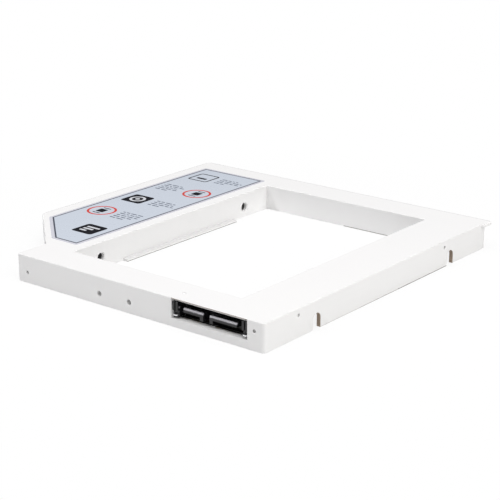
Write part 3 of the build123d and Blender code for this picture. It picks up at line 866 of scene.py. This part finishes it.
@dataclass
class Caddy:
    """The CAD nodes of the caddy, each with its finish.

    Args:
        painter: maker of the finishes.
        finishes: finish of each node; the label has pieces of its own.
    """

    painter: Painter
    finishes: dict[str, Finishes] = field(default_factory=lambda: {
        "frame": Finishes.WHITE_MOULDING,
        "adapter_board": Finishes.SOLDER_MASK,
        "board_screws": Finishes.SCREW_STEEL,
        "plug_housing": Finishes.BLACK_PLASTIC,
        "plug_data_contacts": Finishes.GOLD_PLATE,
        "plug_ground_contacts": Finishes.GOLD_PLATE,
        "plug_power_contacts": Finishes.GOLD_PLATE,
        "plug_detect_contact": Finishes.GOLD_PLATE,
        "plug_hold_downs": Finishes.TIN_PLATE,
        "receptacle_housing": Finishes.BLACK_PLASTIC,
        "receptacle_data_contacts": Finishes.GOLD_PLATE,
        "receptacle_ground_contacts": Finishes.GOLD_PLATE,
        "receptacle_power_contacts": Finishes.GOLD_PLATE,
        "receptacle_hold_downs": Finishes.TIN_PLATE,
        "coupling_capacitors": Finishes.TAN_CERAMIC,
        "decoupling_capacitors": Finishes.TAN_CERAMIC,
        "chip_resistors": Finishes.DARK_CERAMIC,
    })

    def build(self) -> None:
        """Dresses each node and shades its rounded edges smooth, while its flat faces stay flat."""
        group = smooth_group()
        for node, finish in self.finishes.items():
            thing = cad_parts[node]
            self.painter.dress(thing, finish)
            smooth = thing.modifiers.new("smooth", "NODES")
            smooth.node_group = group
            weighted = thing.modifiers.new("weighted", "WEIGHTED_NORMAL")
            weighted.keep_sharp = True
            weighted.weight = LARGE_FACE_WEIGHT
            log.info("%s: %s", node, finish.value.name)


@dataclass(frozen=True)
class Lamp:
    """Square soft box that faces the caddy.

    Args:
        name: lamp's name.
        place: its middle, in metres.
        size: its side, in metres.
        power: its power, in watts.
        colour: colour of its light.
    """

    name: str
    place: Place
    size: float
    power: float
    colour: Colour


@dataclass
class Studio:
    """White sweep, soft light and the camera at the photograph's view.

    Args:
        lens: focal length in millimetres.
        sensor: width of the sensor in millimetres.
        clip: nearest and farthest distance that the camera shows.
        stand: camera's place from the frame box's lowest corner.
        right: direction that runs to the right in the picture.
        look: direction in which the camera looks.
        boxes: lamps.
        ambient: strength of the world as light.
        floor_reach: half the floor's side.
        paper: colour of the floor.
        shade_band: left and right side of the left bar, from the frame box's lowest corner.
        shade_inset: how far the shade stays inside the caddy's depth at both ends.
        shade_depth: how far the shade lowers the share of plain white.
        near_share: share of plain white near the caddy.
        fade: distances at which that share starts to rise and reaches all white.
    """

    lens: float = 103.034
    sensor: float = 36.0
    clip: tuple[float, float] = (0.01, 100.0)
    stand: Place = (359.21 * MM, -299.05 * MM, 155.47 * MM)
    right: Place = (0.7838, 0.6210, 0.0029)
    look: Place = (-0.5892, 0.7452, -0.3122)
    boxes: tuple[Lamp, ...] = (
        Lamp("top_box", (0.0, 0.1, 1.1), 1.0, 6.95, (1.0, 0.985, 0.995)),
        Lamp("right_box", (1.0, 0.0, 0.75), 0.9, 6.8, (1.0, 0.99, 0.965)),
        Lamp("near_right_box", (0.5, -0.4, 0.9), 0.35, 2.2, (1.0, 0.99, 1.0)),
        Lamp("key_box", (-0.6, -0.55, 0.85), 0.3, 4.2, (0.99, 0.99, 1.0)),
    )
    ambient: float = 0.08
    floor_reach: float = 4.0
    paper: Colour = (0.9, 0.9, 0.9)
    shade_band: tuple[float, float] = (26.8 * MM, 38.8 * MM)
    shade_inset: float = 4.0 * MM
    shade_depth: float = 0.86
    near_share: float = 0.88
    fade: tuple[float, float] = (0.07, 0.16)

    def build(self) -> None:
        """Adds the camera, the floor, the lamps and the world."""
        self.camera()
        self.floor()
        self.lamps()
        self.world()
        bpy.context.scene.view_settings.view_transform = "Standard"

    def camera(self) -> None:
        """Sets the camera: its axes are the measured right and look directions, made square."""
        look = Vector(self.look).normalized()
        right = Vector(self.right)
        right = (right - look * right.dot(look)).normalized()
        up = right.cross(look)
        data = bpy.data.cameras.new("camera")
        data.lens = self.lens
        data.sensor_width = self.sensor
        data.clip_start, data.clip_end = self.clip
        thing = bpy.data.objects.new("camera", data)
        turn = Matrix((right, up, -look)).transposed().to_4x4()
        near_left_foot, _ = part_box("frame")
        thing.matrix_world = Matrix.Translation(Vector(near_left_foot) + Vector(self.stand)) @ turn
        bpy.context.scene.collection.objects.link(thing)
        bpy.context.scene.camera = thing

    def open_share(self, shader: ShaderTree) -> Socket:
        """Share of the floor that shows as plain white: low in the shade under the left bar, high elsewhere.

        The shade is a band, where the Object X lies between the left bar's sides and the Object Y between
        the caddy's ends, and only on the floor's upper side. Away from the caddy the share rises smoothly
        with the distance, to all white.

        Args:
            shader: tree to add to.

        Returns:
            The share's output socket.
        """
        (x0, y0, _), (_, y1, _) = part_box("frame")
        band_left, band_right = self.shade_band
        place = shader.place()
        axes = shader.axes(place)
        along = shader.between(axes["X"], x0 + band_left, x0 + band_right)
        across = shader.between(axes["Y"], y0 + self.shade_inset, y1 - self.shade_inset)
        distance = shader.add("ShaderNodeVectorMath", {0: place}, operation="LENGTH").outputs["Value"]
        away = shader.smooth_rise(distance, *self.fade, self.near_share, 1.0)
        under_side = shader.add("ShaderNodeNewGeometry").outputs["Backfacing"]
        shade = shader.math("MULTIPLY", along, shader.math("SUBTRACT", across, under_side), use_clamp=True)
        return shader.math("MULTIPLY_ADD", shade, -self.shade_depth, away)

    def floor(self) -> None:
        """Adds a wide pale floor that keeps the caddy's shadow."""
        reach = self.floor_reach
        corners = [(-reach, -reach, 0.0), (reach, -reach, 0.0), (reach, reach, 0.0), (-reach, reach, 0.0)]
        mesh = bpy.data.meshes.new("floor")
        mesh.from_pydata(corners, [], [[0, 1, 2, 3]])
        thing = bpy.data.objects.new("floor", mesh)
        bpy.context.scene.collection.objects.link(thing)
        material = bpy.data.materials.new("floor_paper")
        material.use_nodes = True
        shader = ShaderTree(material.node_tree)
        path = shader.add("ShaderNodeLightPath")
        seen = shader.math("MAXIMUM", path.outputs["Is Camera Ray"], path.outputs["Is Glossy Ray"])
        paper = shader.add("ShaderNodeBsdfDiffuse", {"Color": (*self.paper, 1.0)})
        white = shader.add("ShaderNodeEmission", {"Color": WHITE, "Strength": 1.0})
        share = shader.math("MULTIPLY", seen, self.open_share(shader))
        both = shader.add("ShaderNodeMixShader", {0: share, 1: paper.outputs[0], 2: white.outputs[0]})
        shader.add("ShaderNodeOutputMaterial", {"Surface": both.outputs[0]})
        mesh.materials.append(material)

    def lamps(self) -> None:
        """Adds the soft boxes and turns each to the caddy."""
        for box in self.boxes:
            data = bpy.data.lights.new(box.name, "AREA")
            data.size = box.size
            data.energy = box.power
            data.color = box.colour
            thing = bpy.data.objects.new(box.name, data)
            thing.location = box.place
            thing.rotation_euler = (-Vector(box.place)).to_track_quat("-Z", "Y").to_euler()
            bpy.context.scene.collection.objects.link(thing)

    def world(self) -> None:
        """Sets an even white world: faint as light, full white to the camera."""
        world = bpy.data.worlds.new("world")
        bpy.context.scene.world = world
        world.use_nodes = True
        shader = ShaderTree(world.node_tree)
        path = shader.add("ShaderNodeLightPath")
        seen = shader.math("MAXIMUM", path.outputs["Is Camera Ray"], path.outputs["Is Transmission Ray"])
        strength = shader.math("MULTIPLY_ADD", seen, 1.0 - self.ambient, self.ambient)
        back = shader.add("ShaderNodeBackground", {"Color": WHITE, "Strength": strength})
        shader.add("ShaderNodeOutputWorld", {"Surface": back.outputs[0]})


def main() -> None:
    painter = Painter()
    sections: tuple[tuple[str, Callable[[], None]], ...] = (
        ("caddy", Caddy(painter).build),
        ("label", Label(painter).build),
        ("studio", Studio().build),
    )
    for name, build in sections:
        build()
        log.info("%s built", name)


if __name__ == "__main__":
    logging.basicConfig(level=logging.INFO)
    main()
